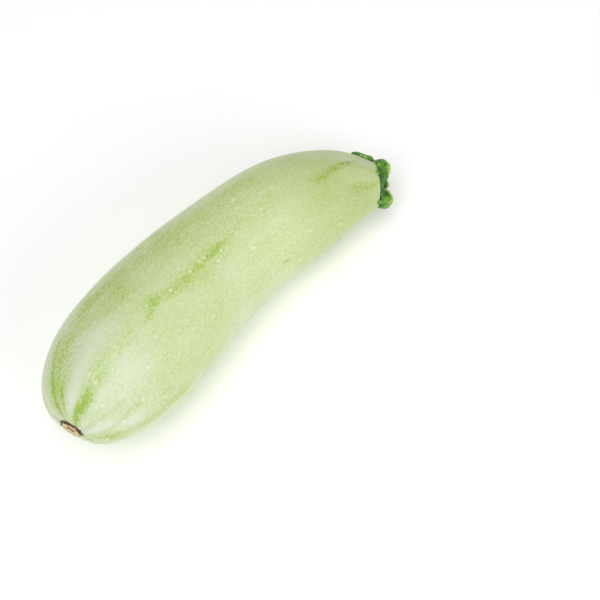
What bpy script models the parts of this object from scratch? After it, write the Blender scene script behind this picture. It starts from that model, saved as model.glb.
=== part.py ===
"""A pale green courgette, as picked, lying at rest on a level surface.

Blender 4.5 script in metres, +Z up. It makes three solids in the collection "courgette": the fruit, the
ridged stem that was cut short above its shoulder, and the dry scar that the flower left in its tip.

The fruit is a loft along a bent spine. Distances run along the spine from the tip, where the flower was, to
the shoulder, where the stem sits. Angles run round the spine, from the outside of the bend. The courgette is
built with its bend flat, and then settles: it rolls and dips until it rests on its belly and its neck, where
its own weight would leave it. The origin is on the surface, under the middle of the whole courgette, and the
fruit lies along X with its stem towards +X.
"""

import math

import bmesh
import bpy
import numpy as np
from mathutils import Matrix, Vector

# The fruit
LENGTH = 0.180
BELLY_RADIUS = 0.0297
BELLY_AT = 0.047
NECK_RADIUS = 0.0254
NECK_AT = 0.123
TIP_FULLNESS = 2.17
SHOULDER_FULLNESS = 2.20
BEND = math.radians(46)
BEND_POWER = 2.8
TIP_TURN = math.radians(6)
TIP_TURN_LENGTH = 0.054
RESTING_FLAT = 0.0003

# Its ribs, which are plainest at this distance from each end. The stem's ridges run on into them
RIBS = 5
STEM_ANGLE = math.radians(13)
TIP_RIB_ANGLE = math.radians(20)
TIP_RIB_HEIGHT = 0.0005
TIP_RIB_AT = 0.016
SHOULDER_RIB_HEIGHT = 0.0013
SHOULDER_RIB_AT = 0.010

# The dry scar in the tip
SCAR_RADIUS = 0.0050
SCAR_THICKNESS = 0.0020
SCAR_RECESS = 0.0011
SCAR_RIM = 0.0012
SCAR_DISH = 0.0004
SCAR_PIT_RADIUS = 0.0012
SCAR_PIT_DEPTH = 0.0006
LIP_WIDTH = 0.0006

# The stem, with a foot under each of its ridges. One foot runs far down the shoulder
STEM_LENGTH = 0.0093
STEM_RIDGE_RADIUS = 0.0105
STEM_GROOVE_RADIUS = 0.0058
RIDGE_SHARPNESS = 1.3
STEM_CUT_SHRINK = 0.93
STEM_EDGE = 0.0004
CUT_DROP = 0.0026
CUT_DROP_ANGLE = math.radians(121)
NOTCH_DEPTH = 0.0034
LOW_RIDGE = 4
LOW_RIDGE_DROP = 0.0036
HOLLOW_DEPTH = 0.0066
HOLLOW_RADIUS = 0.0020
SHORT_FOOT_THICKNESS = 0.0009
SHORT_FOOT_REACH = 0.0022
LONG_FOOT_THICKNESS = 0.0032
LONG_FOOT_REACH = 0.0080
LONG_FOOT_WIDTH = math.radians(26)
FOOT_RISE = 0.0045
GROOVE_SINK = 0.0016
SEAT_MARGIN = 0.0003

# Between pieces that touch, and between points of one piece that are as good as one
GAP = 0.0003
SLIVER = 0.00002

# Fineness of the meshes
SEGMENTS = 60
FRUIT_RINGS = 40
RING_CROWDING = math.radians(150)
FOOT_RINGS = 9
STEM_RINGS = 8
SPINE_STEPS = 240

# The search for the way it lies: roll and dip change by one step at a time, in this many directions
REST_FIRST_STEP = math.radians(8)
REST_LAST_STEP = math.radians(0.01)
REST_DIRECTIONS = 16
REST_DIP_SHARE = 0.25

TIP_RADIUS = SCAR_RADIUS + GAP + LIP_WIDTH
SEAT_RADIUS = STEM_RIDGE_RADIUS + SEAT_MARGIN
ANGLES = [2 * math.pi * i / SEGMENTS for i in range(SEGMENTS)]


def clear_scene():
    for obj in list(bpy.data.objects):
        bpy.data.objects.remove(obj)


def new_collection(name):
    collection = bpy.data.collections.new(name)
    bpy.context.scene.collection.children.link(collection)
    return collection


def plain_material(name, colour, roughness):
    material = bpy.data.materials.new(name)
    material.use_nodes = True
    surface = material.node_tree.nodes["Principled BSDF"]
    surface.inputs["Base Color"].default_value = (*colour, 1)
    surface.inputs["Roughness"].default_value = roughness
    surface.inputs["Metallic"].default_value = 0
    return material


def girth(distance):
    """The fruit's radius without its ribs: a blunt round tip, a belly, a slim neck and a sloping shoulder."""
    if distance < BELLY_AT:
        short = 1 - distance / BELLY_AT
        round_tip = (1 - short**TIP_FULLNESS) ** (1 / TIP_FULLNESS)
        return TIP_RADIUS + (BELLY_RADIUS - TIP_RADIUS) * round_tip
    if distance < NECK_AT:
        taper = (1 + math.cos(math.pi * (distance - BELLY_AT) / (NECK_AT - BELLY_AT))) / 2
        return NECK_RADIUS + (BELLY_RADIUS - NECK_RADIUS) * taper
    past = (distance - NECK_AT) / (LENGTH - NECK_AT)
    return NECK_RADIUS + (SEAT_RADIUS - NECK_RADIUS) * past**SHOULDER_FULLNESS


def rib(distance, angle):
    """How far the ribs lift the skin. They rise from each end, and fade away towards the middle."""
    tip = distance / TIP_RIB_AT
    shoulder = (LENGTH - distance) / SHOULDER_RIB_AT
    tip_height = TIP_RIB_HEIGHT * tip * math.exp(1 - tip)
    shoulder_height = SHOULDER_RIB_HEIGHT * (shoulder * math.exp(1 - shoulder)) ** 2
    tip_ribs = tip_height * math.cos(RIBS * (angle - TIP_RIB_ANGLE))
    return tip_ribs + shoulder_height * math.cos(RIBS * (angle - STEM_ANGLE))


def heading(distance):
    """The spine's direction in plan. It turns a little at the tip, and most of all at the neck."""
    tip_turn = TIP_TURN * max(0.0, 1 - distance / TIP_TURN_LENGTH) ** 2
    return BEND * (1 / (BEND_POWER + 1) - (distance / LENGTH) ** BEND_POWER) + tip_turn


def spine_frame(distance):
    """A frame on the spine: X outwards from the bend, Y up, and Z along the spine towards the stem."""
    place = Vector((0, 0, 0))
    step = distance / SPINE_STEPS
    for i in range(SPINE_STEPS):
        turn = heading(step * (i + 0.5))
        place += step * Vector((math.cos(turn), math.sin(turn), 0))
    turn = heading(distance)
    outwards = Vector((-math.sin(turn), math.cos(turn), 0))
    along = Vector((math.cos(turn), math.sin(turn), 0))
    frame = Matrix((outwards, Vector((0, 0, 1)), along)).transposed().to_4x4()
    frame.translation = place
    return frame


def ring(frame, radii, height=0.0, rises=(0.0,) * SEGMENTS):
    """A closed ring of points round a frame, with a radius and a rise over the height for each of ANGLES."""
    return [
        frame @ Vector((radius * math.cos(angle), radius * math.sin(angle), height + rise))
        for radius, rise, angle in zip(radii, rises, ANGLES)
    ]


def loft(name, rings):
    """A closed mesh through rings of points, with a flat face on the first ring and on the last."""
    bm = bmesh.new()
    loops = [[bm.verts.new(point) for point in points] for points in rings]
    for lower, upper in zip(loops, loops[1:]):
        for i in range(SEGMENTS):
            j = (i + 1) % SEGMENTS
            bm.faces.new((lower[i], lower[j], upper[j], upper[i]))
    bm.faces.new(loops[0])
    bm.faces.new(loops[-1])
    bmesh.ops.recalc_face_normals(bm, faces=bm.faces)
    mesh = bpy.data.meshes.new(name)
    bm.to_mesh(mesh)
    bm.free()
    return mesh


def foot_depths():
    """How far below the seat each ring of the stem's feet lies. The fruit has a ring at each of them too."""
    return [LONG_FOOT_REACH * (1 - i / FOOT_RINGS) for i in range(FOOT_RINGS)]


def fruit_distances():
    """Where the fruit's rings lie along its spine: crowded at the tip, and even under the stem's feet."""
    body = LENGTH - LONG_FOOT_REACH
    rise = [1 - math.cos(RING_CROWDING * i / FRUIT_RINGS) for i in range(FRUIT_RINGS + 1)]
    body_rings = [body * part / rise[-1] for part in rise[:-1]]
    return body_rings + [LENGTH - depth for depth in foot_depths()] + [LENGTH]


def fruit_mesh(name, clearance=0.0):
    """The fruit, or the fruit grown by a clearance all over. Its tip is hollowed to hold the scar."""
    tip = spine_frame(0)
    hollow = [SCAR_RADIUS + GAP - clearance] * SEGMENTS
    rings = [ring(tip, hollow, SCAR_RECESS - clearance), ring(tip, hollow, -clearance)]
    ends = {0: -clearance, LENGTH: clearance}
    for distance in fruit_distances():
        radii = [girth(distance) + clearance + rib(distance, angle) for angle in ANGLES]
        rings.append(ring(spine_frame(distance), radii, ends.get(distance, 0.0)))
    return loft(name, rings)


def ridge(angle):
    """1 along each of the stem's ridges and 0 in the grooves between them."""
    return (0.5 + 0.5 * math.cos(RIBS * (angle - STEM_ANGLE))) ** RIDGE_SHARPNESS


def long_foot(angle):
    """1 on the ridge whose foot runs far down the shoulder, and 0 on the others."""
    away = (angle - STEM_ANGLE + math.pi) % (2 * math.pi) - math.pi
    return math.exp(-((away / LONG_FOOT_WIDTH) ** 2))


def between(short, long, angle):
    return short + (long - short) * long_foot(angle)


def foot_radii(depth, angle):
    """The radii of ridge and groove this far down the shoulder, where the foot thins out to nothing."""
    reach = between(SHORT_FOOT_REACH, LONG_FOOT_REACH, angle)
    thickness = between(SHORT_FOOT_THICKNESS, LONG_FOOT_THICKNESS, angle)
    shoulder = girth(LENGTH - depth) + rib(LENGTH - depth, angle)
    return shoulder + thickness * math.sqrt(max(0.0, 1 - (depth / reach) ** 2)), shoulder - GROOVE_SINK


def stem_top(angle):
    """The uneven cut. It drops on one side and in every groove, and the ridge on the other side is short."""
    away = (angle - STEM_ANGLE - 2 * math.pi * LOW_RIDGE / RIBS + math.pi) % (2 * math.pi) - math.pi
    low = LOW_RIDGE_DROP * math.exp(-((away * RIBS / math.pi) ** 2))
    drop = CUT_DROP * (0.5 + 0.5 * math.cos(angle - CUT_DROP_ANGLE)) ** 2
    return STEM_LENGTH - NOTCH_DEPTH * (1 - ridge(angle)) - drop - low


def stem_radii(height, angle):
    """The radii of ridge and groove above the seat. Both sweep out into the foot at the bottom."""
    shrink = 1 - (1 - STEM_CUT_SHRINK) * height / STEM_LENGTH
    sweep = max(0.0, 1 - height / FOOT_RISE) ** 2
    crest, valley = foot_radii(0, angle)
    crest = STEM_RIDGE_RADIUS * shrink + (crest - STEM_RIDGE_RADIUS) * sweep
    return crest, STEM_GROOVE_RADIUS * shrink + (valley - STEM_GROOVE_RADIUS) * sweep


def foot_ring(depth):
    radii = []
    for angle in ANGLES:
        crest, valley = foot_radii(depth, angle)
        radii.append(valley + (crest - valley) * ridge(angle))
    return ring(spine_frame(LENGTH - depth), radii)


def stem_ring(part, inset=0.0):
    """A ring round the stem, at this part of the way from the seat to the edge of the cut."""
    radii = []
    rises = []
    for angle in ANGLES:
        rise = part * (stem_top(angle) - STEM_EDGE)
        crest, valley = stem_radii(rise, angle)
        radii.append(valley + (crest - valley) * ridge(angle) - inset)
        rises.append(rise + inset)
    return ring(spine_frame(LENGTH), radii, 0.0, rises)


def stem_mesh(name):
    """The stem, before the fruit's shoulder is cut out of it. It starts inside the fruit."""
    rings = [foot_ring(depth) for depth in foot_depths()]
    rings += [stem_ring(i / STEM_RINGS) for i in range(STEM_RINGS + 1)]
    rings.append(stem_ring(1, STEM_EDGE))
    rings.append(ring(spine_frame(LENGTH), [HOLLOW_RADIUS] * SEGMENTS, STEM_LENGTH - HOLLOW_DEPTH))
    return loft(name, rings)


def scar_mesh(name):
    """Half of the scar's outline, from the middle of its face round to the middle of its back.

    Its X is the distance from the spine and its Z is the height, away from the fruit. A Screw turns it.
    """
    face = SCAR_THICKNESS - SCAR_DISH
    outline = [
        (0, face - SCAR_PIT_DEPTH),
        (SCAR_PIT_RADIUS / 2, face - SCAR_PIT_DEPTH),
        (SCAR_PIT_RADIUS, face),
        (SCAR_RADIUS - SCAR_RIM, face),
        (SCAR_RADIUS - SCAR_RIM / 2, SCAR_THICKNESS),
        (SCAR_RADIUS - SCAR_DISH, SCAR_THICKNESS - SCAR_DISH / 2),
        (SCAR_RADIUS, face - SCAR_DISH),
        (SCAR_RADIUS, SCAR_DISH),
        (SCAR_RADIUS - SCAR_DISH, 0),
        (0, 0),
    ]
    mesh = bpy.data.meshes.new(name)
    edges = [(i, i + 1) for i in range(len(outline) - 1)]
    mesh.from_pydata([(x, 0, z) for x, z in outline], edges, [])
    return mesh


def turned(obj):
    screw = obj.modifiers.new("Turned", "SCREW")
    screw.steps = SEGMENTS
    screw.render_steps = SEGMENTS
    screw.use_merge_vertices = True
    screw.merge_threshold = GAP / 10


def scar_frame():
    """The scar's own frame: its origin on the floor of the hollow, and Z straight out of the tip."""
    return spine_frame(0) @ Matrix.Translation((0, 0, SCAR_RECESS - GAP)) @ Matrix.Rotation(math.pi, 4, "X")


def centre_of_mass(mesh):
    """The middle of a closed mesh's volume, from the pyramids between its triangles and the origin."""
    mesh.calc_loop_triangles()
    points = np.array([vertex.co[:] for vertex in mesh.vertices])
    corners = points[np.array([triangle.vertices[:] for triangle in mesh.loop_triangles])]
    volumes = np.linalg.det(corners)
    return (corners.sum(axis=1) * volumes[:, None]).sum(axis=0) / (4 * volumes.sum())


def settled(mesh):
    """The turn that puts a mesh at rest, with the middle of its volume as low as it can lie."""
    arms = np.array([vertex.co[:] for vertex in mesh.vertices]) - centre_of_mass(mesh)

    def turn_of(roll, dip):
        return Matrix.Rotation(dip, 4, "Y") @ Matrix.Rotation(roll, 4, "X")

    def height(pose):
        return -(arms @ np.array(turn_of(*pose))[2, :3]).min()

    circle = [2 * math.pi * i / REST_DIRECTIONS for i in range(REST_DIRECTIONS)]
    pose = (0.0, 0.0)
    step = REST_FIRST_STEP
    while step > REST_LAST_STEP:
        tries = [
            (pose[0] + step * math.cos(way), pose[1] + step * math.sin(way) * REST_DIP_SHARE)
            for way in circle
        ]
        best = min(tries, key=height)
        if height(best) < height(pose):
            pose = best
        else:
            step /= 2
    return turn_of(*pose)


def flatten_underside(mesh, level):
    """The skin gives a little where it bears on the surface, so it is cut off level there."""
    bm = bmesh.new()
    bm.from_mesh(mesh)
    everything = bm.verts[:] + bm.edges[:] + bm.faces[:]
    cut = bmesh.ops.bisect_plane(
        bm, geom=everything, plane_co=(0, 0, level), plane_no=(0, 0, -1), clear_outer=True
    )
    rims = [item for item in cut["geom_cut"] if isinstance(item, bmesh.types.BMEdge)]
    bmesh.ops.holes_fill(bm, edges=rims, sides=0)
    bmesh.ops.recalc_face_normals(bm, faces=bm.faces)
    bm.to_mesh(mesh)
    bm.free()


def lowest(mesh):
    return min(vertex.co.z for vertex in mesh.vertices)


def add_object(mesh, collection, material=None):
    obj = bpy.data.objects.new(mesh.name, mesh)
    collection.objects.link(obj)
    mesh.shade_smooth()
    if material:
        mesh.materials.append(material)
    return obj


def corners(objects):
    """The lowest and the highest corner of the box round some objects, as they are evaluated."""
    bpy.context.view_layer.update()
    graph = bpy.context.evaluated_depsgraph_get()
    points = []
    for obj in objects:
        shape = obj.evaluated_get(graph)
        points += [shape.matrix_world @ vertex.co for vertex in shape.data.vertices]
    low = Vector([min(point[axis] for point in points) for axis in range(3)])
    high = Vector([max(point[axis] for point in points) for axis in range(3)])
    return low, high


def main():
    clear_scene()
    courgette = new_collection("courgette")
    cutters = new_collection("cutters")

    skin = plain_material("pale_green_skin", (0.52, 0.63, 0.31), 0.45)
    stalk = plain_material("dark_green_stalk", (0.06, 0.17, 0.02), 0.55)
    cork = plain_material("dry_brown_scar", (0.55, 0.36, 0.18), 0.85)

    meshes = {"fruit": fruit_mesh("fruit"), "stem": stem_mesh("stem")}
    meshes["shoulder"] = fruit_mesh("shoulder", GAP)
    rest = settled(meshes["fruit"])
    for mesh in meshes.values():
        mesh.transform(rest)
    flatten_underside(meshes["fruit"], lowest(meshes["fruit"]) + RESTING_FLAT)

    fruit = add_object(meshes["fruit"], courgette, skin)
    stem = add_object(meshes["stem"], courgette, stalk)
    shoulder = add_object(meshes["shoulder"], cutters)
    shoulder.hide_render = True
    shoulder.display_type = "WIRE"
    seat_cut = stem.modifiers.new("Shoulder", "BOOLEAN")
    seat_cut.operation = "DIFFERENCE"
    seat_cut.object = shoulder
    weld = stem.modifiers.new("Slivers", "WELD")
    weld.merge_threshold = SLIVER

    scar = add_object(scar_mesh("blossom_scar"), courgette, cork)
    turned(scar)
    scar.matrix_world = rest @ scar_frame()

    pieces = (fruit, stem, scar)
    low, high = corners(pieces)
    middle = Vector(((low.x + high.x) / 2, (low.y + high.y) / 2, low.z))
    for obj in (*pieces, shoulder):
        obj.matrix_world = Matrix.Translation(-middle) @ obj.matrix_world


main()
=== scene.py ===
"""A freshly picked pale green courgette, lying on a white table in soft light.

Distances are in metres, and +Z is up. Along the courgette, places are given as a distance from the scar in
its tip, and as an angle round it from the outside of its bend, over the top.
"""

import math

import bpy
import numpy as np
from mathutils import Matrix, Vector, noise


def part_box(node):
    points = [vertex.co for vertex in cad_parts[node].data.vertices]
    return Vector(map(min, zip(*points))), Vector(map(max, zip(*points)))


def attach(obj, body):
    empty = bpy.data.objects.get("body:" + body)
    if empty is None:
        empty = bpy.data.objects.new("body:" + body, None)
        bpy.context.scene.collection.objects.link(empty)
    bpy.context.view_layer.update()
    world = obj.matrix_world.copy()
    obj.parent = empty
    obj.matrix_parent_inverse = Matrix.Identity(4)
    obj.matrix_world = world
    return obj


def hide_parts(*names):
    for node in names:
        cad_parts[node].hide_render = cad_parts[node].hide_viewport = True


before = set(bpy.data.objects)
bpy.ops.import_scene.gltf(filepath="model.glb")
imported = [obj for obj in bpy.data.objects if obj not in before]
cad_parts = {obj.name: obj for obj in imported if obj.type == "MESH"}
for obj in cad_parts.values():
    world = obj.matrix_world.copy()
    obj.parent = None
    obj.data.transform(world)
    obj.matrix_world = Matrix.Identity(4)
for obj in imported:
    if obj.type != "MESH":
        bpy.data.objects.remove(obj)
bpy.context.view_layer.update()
bpy.context.scene.view_settings.view_transform = "Standard"


# The table: a wide sheet of white laminate, under the white cloth of a light tent. It is level, and the
# courgette lies loose on it.

TABLE_SIZE = 6.0


def colour(code):
    """A linear colour from the six figures of an sRGB hex colour."""
    parts = [int(code[i : i + 2], 16) / 255 for i in (0, 2, 4)]
    return (*[part / 12.92 if part <= 0.04045 else ((part + 0.055) / 1.055) ** 2.4 for part in parts], 1)


def material(name, **values):
    """A new material, with its surface shader and the values that are the same all over it."""
    made = bpy.data.materials.new(name)
    made.use_nodes = True
    shader = made.node_tree.nodes["Principled BSDF"]
    for key, value in values.items():
        shader.inputs[key.replace("_", " ")].default_value = value
    return made, made.node_tree, shader


# White melamine laminate, pressed smooth and matt: bright, with almost no gloss of its own. Its faint glow
# stands for the light that the tent's cloth throws back at it.
laminate, _, _ = material(
    "white_laminate",
    Base_Color=colour("FFFFFF"),
    Roughness=0.8,
    Emission_Color=colour("FFFFFF"),
    Emission_Strength=0.09,
)

bpy.ops.mesh.primitive_plane_add(size=TABLE_SIZE)
table = bpy.context.object
table.name = "table"
table.data.materials.append(laminate)


# The light: a white tent all round, and soft boxes in it. The camera looks down on the courgette, from over
# the side that its bend opens to.

CAMERA_TURN = math.radians(-42.33)
CAMERA_HEIGHT_ANGLE = math.radians(63.29)
CAMERA_ROLL = math.radians(-1.0)
CAMERA_DISTANCE = 0.6039
CAMERA_AIM = Vector((0.0166, -0.0311, 0.025))
CAMERA_LENS = 85
CAMERA_SENSOR = 36
TENT_STRENGTH = 0.44

camera = bpy.data.objects.new("camera", bpy.data.cameras.new("camera"))
bpy.context.scene.collection.objects.link(camera)
camera.data.lens = CAMERA_LENS
camera.data.sensor_width = CAMERA_SENSOR
turned = Matrix.Rotation(CAMERA_TURN, 4, "Z") @ Matrix.Rotation(math.pi / 2 - CAMERA_HEIGHT_ANGLE, 4, "X")
turned = turned @ Matrix.Rotation(CAMERA_ROLL, 4, "Z")
camera.matrix_world = Matrix.Translation(CAMERA_AIM) @ turned @ Matrix.Translation((0, 0, CAMERA_DISTANCE))
bpy.context.scene.camera = camera

tent = bpy.data.worlds.new("tent")
tent.use_nodes = True
tent.node_tree.nodes["Background"].inputs["Color"].default_value = colour("FFFFFF")
tent.node_tree.nodes["Background"].inputs["Strength"].default_value = TENT_STRENGTH
bpy.context.scene.world = tent


def soft_box(name, place, width, height, watts):
    """A soft box at a place, which faces the middle of the courgette. Its width is level."""
    lamp = bpy.data.objects.new(name, bpy.data.lights.new(name, "AREA"))
    bpy.context.scene.collection.objects.link(lamp)
    lamp.data.shape = "RECTANGLE"
    lamp.data.size = width
    lamp.data.size_y = height
    lamp.data.energy = watts
    lamp.location = place
    lamp.rotation_euler = (CAMERA_AIM - Vector(place)).to_track_quat("-Z", "Y").to_euler()


soft_box("overhead_box", (-0.35, -0.15, 1.05), 0.55, 1.3, 6.7)
soft_box("front_box", (0.1, -1.3, 0.75), 1.2, 0.7, 6.2)
soft_box("back_strip", (0.85, 0.95, 0.4), 1.2, 0.35, 0.9)


# The skin: a thin waxy rind over white flesh, which is still on the fruit. It has dense fine mottling and
# small pale specks, where it breathes, and it is drawn in by the scar of the flower and under the stem.

SPINE_POINTS = 40
SPINE_ORDER = 5
SPINE_ROUNDS = 12
SLICE_HALF_THICKNESS = 0.006
SLICE_REACH = 0.045
NEAREST_ROUNDS = 6
MERGE_DISTANCE = 0.00001
QUAD_ANGLE = math.radians(60)
SKIN_SUBDIVISIONS = 2
TIP_PUCKERS = 17
PUCKER_DEPTH = 0.00035
PUCKER_REACH = 0.011
SWELL_DEPTH = 0.0003
SWELL_SIZE = 0.022
NO_SWELL_HEIGHT = 0.004
RIND_LENGTH = 0.18
CLOUD_SIZE = 0.024
STREAK_SIZE = 0.0045
STREAK_STRETCH = 5
MOTTLE_SIZE = 0.0009
MOTTLE_STRETCH = 1.25
SPECK_SPACING = 0.0044
FINE_SPECK_SPACING = 0.0019
# Where the rind is greener, as a start and an end, each a distance and an angle, with a width and a strength.
# It is whiter where the strength is below 0: pale ridges of the rind, which at 84 and 121 degrees near the
# tip are also painted highlights, and at 30 degrees also a painted sheen where the skin turns away.
RIND_STREAKS_AND_HIGHLIGHTS = (
    (0.002, 91, 0.008, 100, 0.0022, 1.0),
    (0.010, 103, 0.036, 102, 0.0028, 0.26),
    (0.049, 104, 0.056, 98, 0.0016, 0.45),
    (0.056, 97, 0.065, 102, 0.0024, 0.55),
    (0.065, 102, 0.074, 103, 0.0020, 0.2),
    (0.0745, 103, 0.089, 102, 0.0034, 0.55),
    (0.080, 103, 0.095, 100, 0.0013, 0.4),
    (0.030, 52, 0.110, 58, 0.0130, 0.28),
    (0.006, 60, 0.038, 50, 0.0056, 0.32),
    (0.002, 60, 0.009, 52, 0.0008, 0.8),
    (0.009, 52, 0.024, 42, 0.0011, 0.5),
    (0.003, 74, 0.009, 68, 0.0009, 0.5),
    (0.002, 128, 0.016, 134, 0.0009, 0.35),
    (0.003, 152, 0.018, 147, 0.0010, 0.35),
    (0.004, 5, 0.050, 8, 0.0040, 0.4),
    (0.004, -60, 0.046, -52, 0.0040, 0.45),
    (0.006, -130, 0.060, -124, 0.0036, 0.4),
    (0.004, 172, 0.040, 176, 0.0034, 0.4),
    (0.151, 92, 0.159, 85, 0.0017, 0.5),
    (0.159, 85, 0.165, 78, 0.0014, 0.8),
    (0.165, 78, 0.173, 62, 0.0012, 1.0),
    (0.167, 117, 0.173, 117, 0.0024, 0.8),
    (0.160, -10, 0.178, -6, 0.0016, 0.6),
    (0.158, -82, 0.178, -78, 0.0014, 0.6),
    (0.160, 200, 0.178, 196, 0.0016, 0.5),
    # Whiter bands, with painted highlights at 84 and 121 degrees and a painted sheen at 30 degrees
    (0.009, 84, 0.030, 79, 0.0040, -0.35),
    (0.014, 121, 0.032, 121, 0.0062, -0.25),
    (0.001, 84, 0.008, 83, 0.0022, -0.4),
    (0.001, 140, 0.012, 160, 0.0040, -0.5),
    (0.006, 30, 0.030, 32, 0.0045, -0.35),
    (0.006, -30, 0.034, -24, 0.0055, -0.35),
    (0.006, -96, 0.034, -90, 0.0055, -0.35),
)
# Where it was scratched in the field and healed brown: a distance, an angle, a length and a width
SCRATCHES = (
    (0.074, 42, 0.0007, 0.0016),
    (0.046, -66, 0.0006, 0.0012),
    (0.118, 158, 0.0016, 0.0006),
    (0.140, 31, 0.0012, 0.0007),
    (0.065, -70, 0.0018, 0.0007),
)


def own_copy(node, name):
    """A copy of a CAD node, with its loose triangles merged, for a piece that stands for the node."""
    bpy.ops.object.select_all(action="DESELECT")
    made = bpy.data.objects.new(name, node.data.copy())
    bpy.context.scene.collection.objects.link(made)
    bpy.context.view_layer.objects.active = made
    made.select_set(True)
    bpy.ops.object.mode_set(mode="EDIT")
    bpy.ops.mesh.select_all(action="SELECT")
    bpy.ops.mesh.remove_doubles(threshold=MERGE_DISTANCE)
    bpy.ops.mesh.tris_convert_to_quads(face_threshold=QUAD_ANGLE, shape_threshold=QUAD_ANGLE)
    bpy.ops.object.mode_set(mode="OBJECT")
    made.data.materials.clear()
    return made


def finish_modifier(piece, kind, **settings):
    """Adds a modifier with its settings, and applies it."""
    made = piece.modifiers.new(kind.title(), kind)
    for key, value in settings.items():
        setattr(made, key, value)
    bpy.ops.object.modifier_apply(modifier=made.name)


def points_of(piece):
    points = np.empty(len(piece.data.vertices) * 3)
    piece.data.vertices.foreach_get("co", points)
    return points.reshape(-1, 3)


def normals_of(piece):
    normals = np.empty(len(piece.data.vertices) * 3)
    piece.data.vertices.foreach_get("normal", normals)
    return normals.reshape(-1, 3)


def set_points(piece, points):
    piece.data.vertices.foreach_set("co", points.ravel())
    piece.data.update()


def set_attribute(piece, name, values):
    """Stores a number, or a place, for each point of a piece, for its material to read."""
    if values.ndim == 2:
        piece.data.attributes.new(name, "FLOAT_VECTOR", "POINT").data.foreach_set("vector", values.ravel())
    else:
        piece.data.attributes.new(name, "FLOAT", "POINT").data.foreach_set("value", values)


def middle_of(name):
    low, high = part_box(name)
    return (np.array(low) + np.array(high)) / 2


def read_at(places, known_places, known):
    """The vectors at some places, from those at known places."""
    return np.stack([np.interp(places, known_places, known[:, axis]) for axis in range(3)], axis=1)


def directions_along(line):
    ahead = np.gradient(line, axis=0)
    return ahead / np.linalg.norm(ahead, axis=1)[:, None]


def spine_through(points):
    """The line along the middle of the fruit from the scar to the stem, as points that are evenly apart.

    It starts straight. In each round, every point moves to the middle of the slice of fruit round it, and the
    line is then smoothed.
    """
    line = np.linspace(middle_of("blossom_scar"), middle_of("stem"), SPINE_POINTS)
    share = np.linspace(0, 1, SPINE_POINTS)
    for _ in range(SPINE_ROUNDS):
        ahead = directions_along(line)
        for k in range(1, SPINE_POINTS - 1):
            away = points - line[k]
            in_slice = np.abs(away @ ahead[k]) < SLICE_HALF_THICKNESS
            in_slice &= np.linalg.norm(away, axis=1) < SLICE_REACH
            shift = away[in_slice].mean(axis=0)
            line[k] += shift - (shift @ ahead[k]) * ahead[k]
        curves = [np.polyfit(share, line[:, axis], SPINE_ORDER) for axis in range(3)]
        line = np.stack([np.polyval(curve, share) for curve in curves], axis=1)
        steps = np.r_[0, np.cumsum(np.linalg.norm(np.diff(line, axis=0), axis=1))]
        line = read_at(np.linspace(0, steps[-1], SPINE_POINTS), steps, line)
    return line


def along_and_round(points, line):
    """Each point's distance from the scar, its angle round the line, and its distance from the line."""
    step = np.linalg.norm(line[1] - line[0])
    place = np.argmin(((points[:, None] - line[None]) ** 2).sum(axis=2), axis=1)
    for _ in range(NEAREST_ROUNDS):
        held = np.clip(place, 0, SPINE_POINTS - 1)
        centre = read_at(held, range(SPINE_POINTS), line)
        ahead = read_at(held, range(SPINE_POINTS), directions_along(line))
        place = held + ((points - centre) * ahead).sum(axis=1) / step
    outwards = np.cross((0, 0, 1), ahead)
    outwards /= np.linalg.norm(outwards, axis=1)[:, None]
    upwards = np.cross(ahead, outwards)
    across = ((points - centre) * outwards).sum(axis=1)
    over = ((points - centre) * upwards).sum(axis=1)
    return place * step, np.arctan2(over, across), np.hypot(across, over)


def smooth_noise(points, size, seed):
    """Smooth noise from -1 to 1 at each point, with lumps of about this size."""
    shift = Vector((seed, seed * 1.7, seed * 0.6))
    return np.array([noise.noise(Vector(point) / size + shift) for point in points])


def bell(values, middle, width):
    return np.exp(-(((values - middle) / width) ** 2))


def rising(values, start, end):
    """How far values have come from start to end, from 0 to 1."""
    return np.clip((values - start) / (end - start), 0, 1)


def turned_apart(angles, angle):
    """How far apart angles are, from minus to plus half a turn."""
    return (angles - angle + math.pi) % (2 * math.pi) - math.pi


skin = own_copy(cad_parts["fruit"], "skin")
spine = spine_through(points_of(skin))
finish_modifier(skin, "SUBSURF", levels=SKIN_SUBDIVISIONS, render_levels=SKIN_SUBDIVISIONS)

points = points_of(skin)
normals = normals_of(skin)
distance, angle, radius = along_and_round(points, spine)

# Each pucker is a short crease that runs out from the scar. The swellings leave the underside flat
rng = np.random.default_rng(7)
pucker = np.zeros(len(points))
for i in range(TIP_PUCKERS):
    at = 2 * math.pi * (i + rng.uniform(-0.3, 0.3)) / TIP_PUCKERS
    reach = PUCKER_REACH * rng.uniform(0.6, 1.9)
    crease = bell(turned_apart(angle, at), 0, rng.uniform(0.07, 0.14))
    pucker += rng.uniform(0.5, 1.0) * crease * np.exp(-distance / reach)
swell = 0.5 - 0.5 * smooth_noise(points, SWELL_SIZE, 3.1)
clear = rising(points[:, 2], 0, NO_SWELL_HEIGHT)
dip = PUCKER_DEPTH * pucker + SWELL_DEPTH * swell * clear
set_points(skin, points - normals * dip[:, None])

greener_and_highlight = np.zeros(len(points))
for from_distance, from_angle, to_distance, to_angle, width, strength in RIND_STREAKS_AND_HIGHLIGHTS:
    share = rising(distance, from_distance, to_distance)
    middle = np.radians(from_angle + (to_angle - from_angle) * share)
    sideways = np.abs(turned_apart(angle, middle)) * radius
    endways = np.maximum(0, np.maximum(from_distance - distance, distance - to_distance))
    greener_and_highlight += strength * bell(sideways, 0, width) * bell(endways, 0, 2 * width)
scratch = np.zeros(len(points))
for at_distance, at_angle, length, width in SCRATCHES:
    sideways = turned_apart(angle, math.radians(at_angle)) * radius
    scratch += bell(distance, at_distance, length) * bell(sideways, 0, width)

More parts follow.
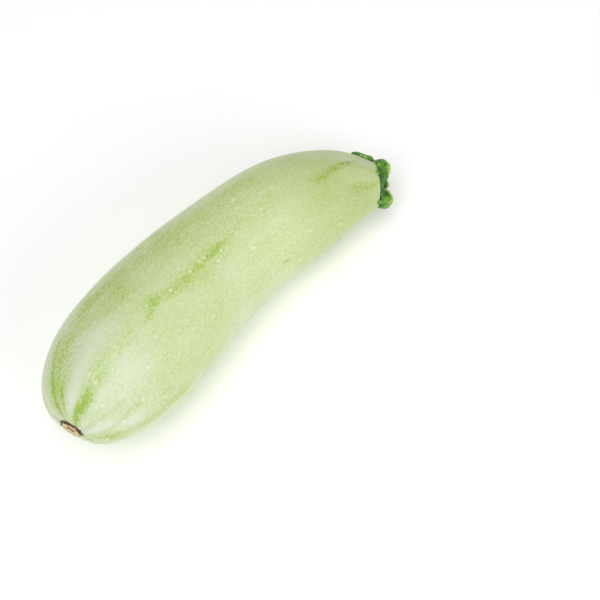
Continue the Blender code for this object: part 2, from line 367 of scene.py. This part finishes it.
# The patterns lie on the fruit as if it were straight, so that they follow its bend
straightened = np.stack([distance, radius * np.cos(angle), radius * np.sin(angle)], axis=1)
set_attribute(skin, "straightened", straightened)
set_attribute(skin, "greener_and_highlight", greener_and_highlight)
# The creases, for painted shade in them
set_attribute(skin, "pucker", np.clip(pucker, 0, 1))
set_attribute(skin, "scratch", scratch)
skin.data.shade_smooth()


def add(tree, kind, links=None, stops=(), **settings):
    """Adds a node with its settings, and for a colour ramp its stops, each a position and a hex colour.

    Each of its sockets in links takes a value, or the socket that feeds it.
    """
    made = tree.nodes.new("ShaderNode" + kind)
    for key, value in settings.items():
        setattr(made, key, value)
    for key, value in (links or {}).items():
        if isinstance(value, bpy.types.NodeSocket):
            tree.links.new(value, made.inputs[key])
        else:
            made.inputs[key].default_value = value
    for k, (position, code) in enumerate(stops):
        elements = made.color_ramp.elements
        stop = elements[k] if k < 2 else elements.new(position)
        stop.position = position
        stop.color = colour(code)
    return made


def total(tree, *parts):
    """The sum of some sockets, each times its weight, and of plain numbers."""
    result = 0.0
    for part in parts:
        if isinstance(part, tuple):
            links = {0: part[0], 1: part[1], 2: result}
            result = add(tree, "Math", links, operation="MULTIPLY_ADD").outputs[0]
        else:
            result = add(tree, "Math", {0: result, 1: part}, operation="ADD").outputs[0]
    return result


# Courgette rind, waxy and a little translucent: a soft gloss, with a faint bloom of fine hairs at its edges.
# The deeper its green, the further it lies along the first ramp. The second tints it from tip to stem.
rind, tree, shader = material(
    "courgette_rind",
    Roughness=0.5,
    IOR=1.45,
    Subsurface_Weight=0.08,
    Subsurface_Radius=(0.004, 0.004, 0.0015),
    Subsurface_Scale=1.0,
    Coat_Weight=0.25,
    Coat_Roughness=0.5,
    Sheen_Weight=0.25,
    Sheen_Roughness=0.4,
)
place = add(tree, "Attribute", attribute_name="straightened").outputs["Vector"]
lengthwise = add(
    tree, "VectorMath", {0: place, 1: (1 / STREAK_STRETCH, 1, 1)}, operation="MULTIPLY"
).outputs[0]
speckwise = add(
    tree, "VectorMath", {0: place, 1: (1 / MOTTLE_STRETCH, 1, 1)}, operation="MULTIPLY"
).outputs[0]
clouds = add(tree, "TexNoise", {"Vector": place, "Scale": 1 / CLOUD_SIZE, "Detail": 3}).outputs["Fac"]
streaks = add(tree, "TexNoise", {"Vector": lengthwise, "Scale": 1 / STREAK_SIZE, "Detail": 3}).outputs["Fac"]
mottle = add(tree, "TexNoise", {"Vector": speckwise, "Scale": 1 / MOTTLE_SIZE, "Detail": 2}).outputs["Fac"]
# Greener streaks, and whiter bands that carry painted highlights and a painted sheen
streaks_and_highlights = add(tree, "Attribute", attribute_name="greener_and_highlight").outputs["Fac"]
# The creases at the tip are painted a deeper green: partly the rind's own colour by the scar, partly painted
# shade in the creases
pucker_shade = add(tree, "Attribute", attribute_name="pucker").outputs["Fac"]
broken = total(tree, (mottle, 1.0), (streaks, 1.2), -0.2)
streaks_and_highlights = add(tree, "Math", {0: streaks_and_highlights, 1: broken}, operation="MULTIPLY").outputs[0]
depth = total(
    tree, (clouds, 0.5), (streaks, 0.3), (mottle, 0.8), (streaks_and_highlights, 0.6), (pucker_shade, 0.25), -0.43
)
greens = add(
    tree,
    "ValToRGB",
    {"Fac": depth},
    stops=((0, "E3EAD6"), (0.25, "D9E3C0"), (0.5, "CBDAA3"), (0.75, "B7CD70"), (1, "9CBD46")),
).outputs["Color"]

# Each speck is as big as the random colour of its cell says, and most are fine ones
specks = add(tree, "TexVoronoi", {"Vector": speckwise, "Scale": 1 / SPECK_SPACING})
size = add(tree, "MapRange", {"Value": specks.outputs["Color"], "To Min": 0.0, "To Max": 0.25}).outputs[0]
speck = add(tree, "Math", {0: size, 1: specks.outputs["Distance"]}, operation="SUBTRACT").outputs[0]
speck = add(tree, "MapRange", {"Value": speck, "From Min": -0.03, "From Max": 0.08}).outputs[0]
fine = add(tree, "TexVoronoi", {"Vector": speckwise, "Scale": 1 / FINE_SPECK_SPACING}).outputs["Distance"]
fine = add(tree, "MapRange", {"Value": fine, "From Min": 0.24, "From Max": 0.1}).outputs[0]
speck = total(tree, (speck, 0.62), (fine, 0.4))
speckled = add(tree, "Mix", {0: speck, 6: greens, 7: colour("EFF3DC")}, data_type="RGBA").outputs[2]

along = add(tree, "SeparateXYZ", {0: place}).outputs["X"]
along = add(tree, "Math", {0: along, 1: 1 / RIND_LENGTH}, operation="MULTIPLY").outputs[0]
tone = add(
    tree,
    "ValToRGB",
    {"Fac": along},
    stops=(
        (0, "F7F6FD"),
        (0.12, "F7F8FA"),
        (0.28, "F1F5E1"),
        (0.5, "F6F8E7"),
        (0.65, "F7F9E5"),
        (0.8, "E7EBC8"),
        (1, "E1E5C2"),
    ),
).outputs["Color"]
toned = add(
    tree, "Mix", {0: 1.0, 6: speckled, 7: tone}, data_type="RGBA", blend_type="MULTIPLY"
).outputs[2]
healed = add(tree, "Attribute", attribute_name="scratch").outputs["Fac"]
patchy = add(tree, "Math", {0: healed, 1: mottle}, operation="MULTIPLY").outputs[0]
healed = total(tree, (healed, 0.9), (patchy, -0.5))
marked = add(tree, "Mix", {0: healed, 6: toned, 7: colour("84703F")}, data_type="RGBA").outputs[2]
tree.links.new(marked, shader.inputs["Base Color"])
relief = total(tree, (mottle, 0.6), (speck, -0.5))
bump = add(tree, "Bump", {"Height": relief, "Strength": 0.5, "Distance": 0.0003}).outputs["Normal"]
tree.links.new(bump, shader.inputs["Normal"])
skin.data.materials.append(rind)
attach(skin, "root")
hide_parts("fruit")


# The scar: a dry corky button where the flower dropped off, set in the tip and held by the rind round it.
# It shrank as it dried, so its rim is dark and uneven, and it split along its middle.

SCAR_RINGS = 30
SCAR_SIDES = 120
SCAR_FACE = 0.0014
SCAR_EDGE_LUMPS = 1.6
SCAR_EDGE_SHARE = 0.965
SCAR_EDGE_SWING = 0.035
SCAR_BACK_SHARE = 0.96
SCAR_RIM_SHARE = 0.93
SCAR_RIM_WIDTH = 0.055
SCAR_RIM_HEIGHT = 0.00012
SCAR_EDGE_DROP = 0.0012
SCAR_GRAIN = 0.0011
SCAR_GRAIN_HEIGHT = 0.00012
SCAR_FINE_GRAIN = 0.00045
SCAR_FINE_GRAIN_HEIGHT = 0.00006
SCAR_MERGE_DISTANCE = 0.000002
SPLIT_HALF_LENGTH = 0.0019
SPLIT_HALF_WIDTH = 0.0010
SPLIT_DEPTH = 0.0009
SPLIT_TURN = math.radians(16)
CORK_BLOTCH_SIZE = 0.0016
CORK_GRIT_SIZE = 0.0004
# The withered stubs on its rim: how far each is turned from the split, then where on the face they stand
STUB_TURNS = (-0.22, 0.2)
STUB_SHARE = 0.88
STUB_WIDTH = 0.09
STUB_TURN_WIDTH = 0.10954
STUB_HEIGHT = 0.0006

# It faces along its thinnest direction, out of the tip
scar_middle = middle_of("blossom_scar")
from_middle = points_of(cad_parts["blossom_scar"]) - scar_middle
_, axes = np.linalg.eigh(np.cov(from_middle.T))
outwards = axes[:, 0] * np.sign(axes[:, 0] @ (spine[0] - spine[3]))
level = np.cross((0, 0, 1), outwards)
level /= np.linalg.norm(level)
level *= np.sign(level[1])
upright = np.cross(outwards, level)
upright *= np.sign(upright[2])
heights = from_middle @ outwards
scar_radius = np.hypot(from_middle @ level, from_middle @ upright).max()
scar_back = scar_middle + outwards * heights.min()

# Rings of points on its face, from its middle to its edge, each with its height over the flat back
turns = 2 * math.pi * np.arange(SCAR_SIDES) / SCAR_SIDES
places = []
rims = []
splits = []
for share in np.linspace(0, 1, SCAR_RINGS):
    for turn in turns:
        edge_point = (math.cos(turn) * SCAR_EDGE_LUMPS, math.sin(turn) * SCAR_EDGE_LUMPS, 4.2)
        lumpy = noise.noise(Vector(edge_point))
        edge = scar_radius * (SCAR_EDGE_SHARE + SCAR_EDGE_SWING * lumpy)
        across, over = share * edge * math.cos(turn), share * edge * math.sin(turn)
        along_split = across * math.cos(SPLIT_TURN) + over * math.sin(SPLIT_TURN)
        off_split = over * math.cos(SPLIT_TURN) - across * math.sin(SPLIT_TURN)
        split = math.exp(-((along_split / SPLIT_HALF_LENGTH) ** 4) - (off_split / SPLIT_HALF_WIDTH) ** 2)
        rim = bell(share, SCAR_RIM_SHARE, SCAR_RIM_WIDTH)
        grain = noise.noise(Vector((across, over, 0)) / SCAR_GRAIN + Vector((0, 0, 7.7)))
        fine_grain = noise.noise(Vector((across, over, 0)) / SCAR_FINE_GRAIN + Vector((0, 0, 2.1)))
        near_stub = sum(bell(turned_apart(turn - SPLIT_TURN, at), 0, STUB_TURN_WIDTH) for at in STUB_TURNS)
        stub = near_stub * bell(share, STUB_SHARE, STUB_WIDTH)
        height = SCAR_FACE + SCAR_RIM_HEIGHT * rim * (0.7 + 0.5 * lumpy + 0.4 * grain)
        height += SCAR_GRAIN_HEIGHT * grain + SCAR_FINE_GRAIN_HEIGHT * fine_grain + STUB_HEIGHT * stub
        height -= SPLIT_DEPTH * split + SCAR_EDGE_DROP * rising(share, SCAR_RIM_SHARE, 1) ** 2
        height = min(height, np.ptp(heights))
        places.append(scar_back + level * across + upright * over + outwards * height)
        rims.append(min(1, rim * (0.75 + 0.6 * grain) + stub + 0.8 * rising(share, 0.9, 1)))
        splits.append(split)
for turn in turns:
    edge_direction = level * math.cos(turn) + upright * math.sin(turn)
    places.append(scar_back + SCAR_BACK_SHARE * scar_radius * edge_direction)
    rims.append(1)
    splits.append(0)
faces = []
for ring in range(0, SCAR_RINGS * SCAR_SIDES, SCAR_SIDES):
    for i in range(SCAR_SIDES):
        following = (i + 1) % SCAR_SIDES
        faces.append((ring + i, ring + following, ring + SCAR_SIDES + following, ring + SCAR_SIDES + i))
faces.append(tuple(range(SCAR_RINGS * SCAR_SIDES, (SCAR_RINGS + 1) * SCAR_SIDES)))

scar = bpy.data.objects.new("scar", bpy.data.meshes.new("scar"))
bpy.context.scene.collection.objects.link(scar)
scar.data.from_pydata([tuple(place) for place in places], [], faces)
set_attribute(scar, "rim", np.array(rims, float))
set_attribute(scar, "split", np.array(splits, float))
bpy.ops.object.select_all(action="DESELECT")
bpy.context.view_layer.objects.active = scar
scar.select_set(True)
bpy.ops.object.mode_set(mode="EDIT")
bpy.ops.mesh.select_all(action="SELECT")
bpy.ops.mesh.remove_doubles(threshold=SCAR_MERGE_DISTANCE)
bpy.ops.mesh.normals_make_consistent(inside=False)
bpy.ops.object.mode_set(mode="OBJECT")
scar.data.shade_smooth()

# Cork that healed over the wound: dry, matt and fibrous, tan in the middle and dark brown at its rim. Its
# split is dark brown too, partly the dried tissue's own colour and partly painted shade in the crack.
cork, tree, shader = material("dry_cork", Roughness=0.85)
place = add(tree, "TexCoord").outputs["Object"]
blotch = add(tree, "TexNoise", {"Vector": place, "Scale": 1 / CORK_BLOTCH_SIZE, "Detail": 3}).outputs["Fac"]
grit = add(tree, "TexNoise", {"Vector": place, "Scale": 1 / CORK_GRIT_SIZE, "Detail": 2}).outputs["Fac"]
tan = add(tree, "ValToRGB", {"Fac": blotch}, stops=((0.3, "CFA27E"), (0.6, "E3CCA2"))).outputs["Color"]
rim = add(tree, "Attribute", attribute_name="rim").outputs["Fac"]
dark = total(tree, (rim, 1.1), (grit, 0.5), -0.4)
dark = add(tree, "Math", {0: dark, 1: 0.0}, operation="ADD", use_clamp=True).outputs[0]
edged = add(tree, "Mix", {0: dark, 6: tan, 7: colour("4F3018")}, data_type="RGBA").outputs[2]
# The split: partly dried tissue, partly painted shade in the crack
split = add(tree, "Attribute", attribute_name="split").outputs["Fac"]
split = add(tree, "MapRange", {"Value": split, "From Min": 0.1, "From Max": 0.5}).outputs[0]
cork_and_split_shade = add(tree, "Mix", {0: split, 6: edged, 7: colour("4A2810")}, data_type="RGBA").outputs[2]
tree.links.new(cork_and_split_shade, shader.inputs["Base Color"])
bump = add(tree, "Bump", {"Height": grit, "Strength": 0.6, "Distance": 0.0002}).outputs["Normal"]
tree.links.new(bump, shader.inputs["Normal"])
scar.data.materials.append(cork)
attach(scar, "root")
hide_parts("blossom_scar")


# The stem: a fibrous green stalk with five ridges, which grew on the fruit and was snapped off short.
# Its ridges run down into feet that grip the shoulder, and its broken end is hollow.

STALK_GRAIN = 0.00028
STALK_SMOOTHINGS = 10
SEAT_REACH = 0.016
SEAT_ALIGNMENT = 0.9995
RIDGE_HALF_TURN = math.radians(26)
UNBROKEN_HEIGHT = 0.001
LUMP_SIZE = 0.0026
LUMP_HEIGHT = 0.00026
PIMPLE_SIZE = 0.0009
PIMPLE_HEIGHT = 0.00014
DRYING_SHRINK = 0.00008
FOOT_SINK = 0.00045
FOOT_HEIGHT = 0.0015
DRYING_SIDE = math.radians(-140)
DRYING_HALF_TURN = math.radians(35)
STALK_PATCH_SIZE = 0.0028
STALK_FLECK_SIZE = 0.0008
# The swollen ends of its ridges: an angle round the stem, a distance from its middle, and a height over the
# shoulder, then half of its size outwards, sideways and along the stem
RIDGE_ENDS = (
    (50, 0.0080, 0.0032, 0.0040, 0.0050, 0.0041),
    (22, 0.0092, 0.0040, 0.0030, 0.0030, 0.0036),
    (196, 0.0064, 0.0034, 0.0045, 0.0052, 0.0042),
    (226, 0.0076, 0.0026, 0.0032, 0.0032, 0.0032),
    (-54, 0.0052, 0.0058, 0.0022, 0.0024, 0.0026),
)
# Where its ridges broke off shorter: an angle, and a share of the ridge's height
SHORTER_RIDGES = ((90, 0.34), (162, 0.18), (-126, 0.3))

# It stands square on its seat, which is the widest level stretch of the shoulder near it
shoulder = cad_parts["fruit"].data.polygons
flats = np.array([face.normal for face in shoulder])
centres = np.array([face.center for face in shoulder])
areas = np.array([face.area for face in shoulder])
near = np.linalg.norm(centres - middle_of("stem"), axis=1) < SEAT_REACH
flats, centres, areas = flats[near], centres[near], areas[near]
level_with = flats @ flats.T > SEAT_ALIGNMENT
seat_face = np.argmax(level_with @ areas)
stem_axis = flats[seat_face]
on_seat = level_with[seat_face]
seat = np.average(centres[on_seat], axis=0, weights=areas[on_seat])
stem_up = np.array((0, 0, 1)) - stem_axis * stem_axis[2]
stem_up /= np.linalg.norm(stem_up)
stem_out = np.cross(stem_up, stem_axis)

stalk = own_copy(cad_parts["stem"], "stalk")
from_seat = points_of(stalk) - seat
turn = np.arctan2(from_seat @ stem_up, from_seat @ stem_out)
shorter = np.zeros(len(turn))
for ridge_angle, share in SHORTER_RIDGES:
    shorter += share * bell(turned_apart(turn, math.radians(ridge_angle)), 0, RIDGE_HALF_TURN)
lowered = np.maximum(0, from_seat @ stem_axis - UNBROKEN_HEIGHT) * shorter
set_points(stalk, from_seat + seat - lowered[:, None] * stem_axis)
for ridge_angle, out, rise, half_out, half_across, half_along in RIDGE_ENDS:
    ridge_angle = math.radians(ridge_angle)
    outwards = stem_out * math.cos(ridge_angle) + stem_up * math.sin(ridge_angle)
    across = np.cross(stem_axis, outwards)
    bpy.ops.mesh.primitive_uv_sphere_add(segments=48, ring_count=24, radius=1)
    ridge_end = bpy.context.object
    axes = Matrix((outwards * half_out, across * half_across, stem_axis * half_along)).transposed().to_4x4()
    ridge_end.data.transform(Matrix.Translation(seat + outwards * out + stem_axis * rise) @ axes)
    stalk.select_set(True)
    bpy.context.view_layer.objects.active = stalk
    bpy.ops.object.join()
finish_modifier(stalk, "REMESH", mode="VOXEL", voxel_size=STALK_GRAIN)
finish_modifier(stalk, "SMOOTH", factor=0.5, iterations=STALK_SMOOTHINGS)

# Its surface is lumpy, and its feet sink a little into the rind. It stays inside its own box
points = points_of(stalk)
normals = normals_of(stalk)
lumps = LUMP_HEIGHT * smooth_noise(points, LUMP_SIZE, 5.3)
pimples = PIMPLE_HEIGHT * smooth_noise(points, PIMPLE_SIZE, 8.1)
points = points + normals * (lumps + pimples - DRYING_SHRINK)[:, None]
rise = (points - seat) @ stem_axis
from_axis = (points - seat) - rise[:, None] * stem_axis
foot = rising(-rise, 0, FOOT_HEIGHT)
points -= FOOT_SINK * foot[:, None] * from_axis / np.linalg.norm(from_axis, axis=1)[:, None]
low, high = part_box("stem")
points = np.clip(points, np.array(low), np.array(high))
set_points(stalk, points)

from_seat = points - seat
rise = from_seat @ stem_axis
turn = np.arctan2(from_seat @ stem_up, from_seat @ stem_out)
out = np.linalg.norm(from_seat - rise[:, None] * stem_axis, axis=1)
set_attribute(stalk, "cut", rising(normals @ stem_axis, 0.2, 0.7) * rising(rise, 0.002, 0.005))
# How far out on its ridges each point is, for painted shade in the grooves
set_attribute(stalk, "lit_crest", rising(out, 0.0062, 0.0102))
set_attribute(stalk, "drying", bell(turned_apart(turn, DRYING_SIDE), 0, DRYING_HALF_TURN))
stalk.data.shade_smooth()

# Stalk tissue, fresh and firm: a hard fibrous rind with a low satin gloss. It is painted darker in its
# grooves and lighter on its crests, as painted shade and light.
fibre, tree, shader = material(
    "fresh_green_stalk",
    Roughness=0.5,
    IOR=1.45,
    Subsurface_Weight=0.05,
    Subsurface_Radius=(0.001, 0.002, 0.0005),
    Subsurface_Scale=1.0,
)
place = add(tree, "TexCoord").outputs["Object"]
patches = add(tree, "TexNoise", {"Vector": place, "Scale": 1 / STALK_PATCH_SIZE, "Detail": 3}).outputs["Fac"]
flecks = add(tree, "TexNoise", {"Vector": place, "Scale": 1 / STALK_FLECK_SIZE, "Detail": 2}).outputs["Fac"]
# Painted shade: darker in the grooves, lighter on the crests
lit_crest = add(tree, "Attribute", attribute_name="lit_crest").outputs["Fac"]
shade = total(tree, (patches, 1.5), (flecks, 0.7), (lit_crest, 0.4), -0.95)
green = add(
    tree,
    "ValToRGB",
    {"Fac": shade},
    stops=((0.05, "1E420F"), (0.35, "3A6B1B"), (0.6, "5A9427"), (0.78, "8BB848"), (0.95, "A6C983")),
).outputs["Color"]
cut = add(tree, "Attribute", attribute_name="cut").outputs["Fac"]
broken_end = add(
    tree, "Mix", {0: flecks, 6: colour("8CB324"), 7: colour("BEDB55")}, data_type="RGBA"
).outputs[2]
drying = add(tree, "Attribute", attribute_name="drying").outputs["Fac"]
broken_end = add(tree, "Mix", {0: drying, 6: broken_end, 7: colour("8A8452")}, data_type="RGBA").outputs[2]
whole = add(tree, "Mix", {0: cut, 6: green, 7: broken_end}, data_type="RGBA").outputs[2]
tree.links.new(whole, shader.inputs["Base Color"])
bump = add(tree, "Bump", {"Height": flecks, "Strength": 0.6, "Distance": 0.0003}).outputs["Normal"]
tree.links.new(bump, shader.inputs["Normal"])
stalk.data.materials.append(fibre)
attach(stalk, "root")
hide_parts("stem")
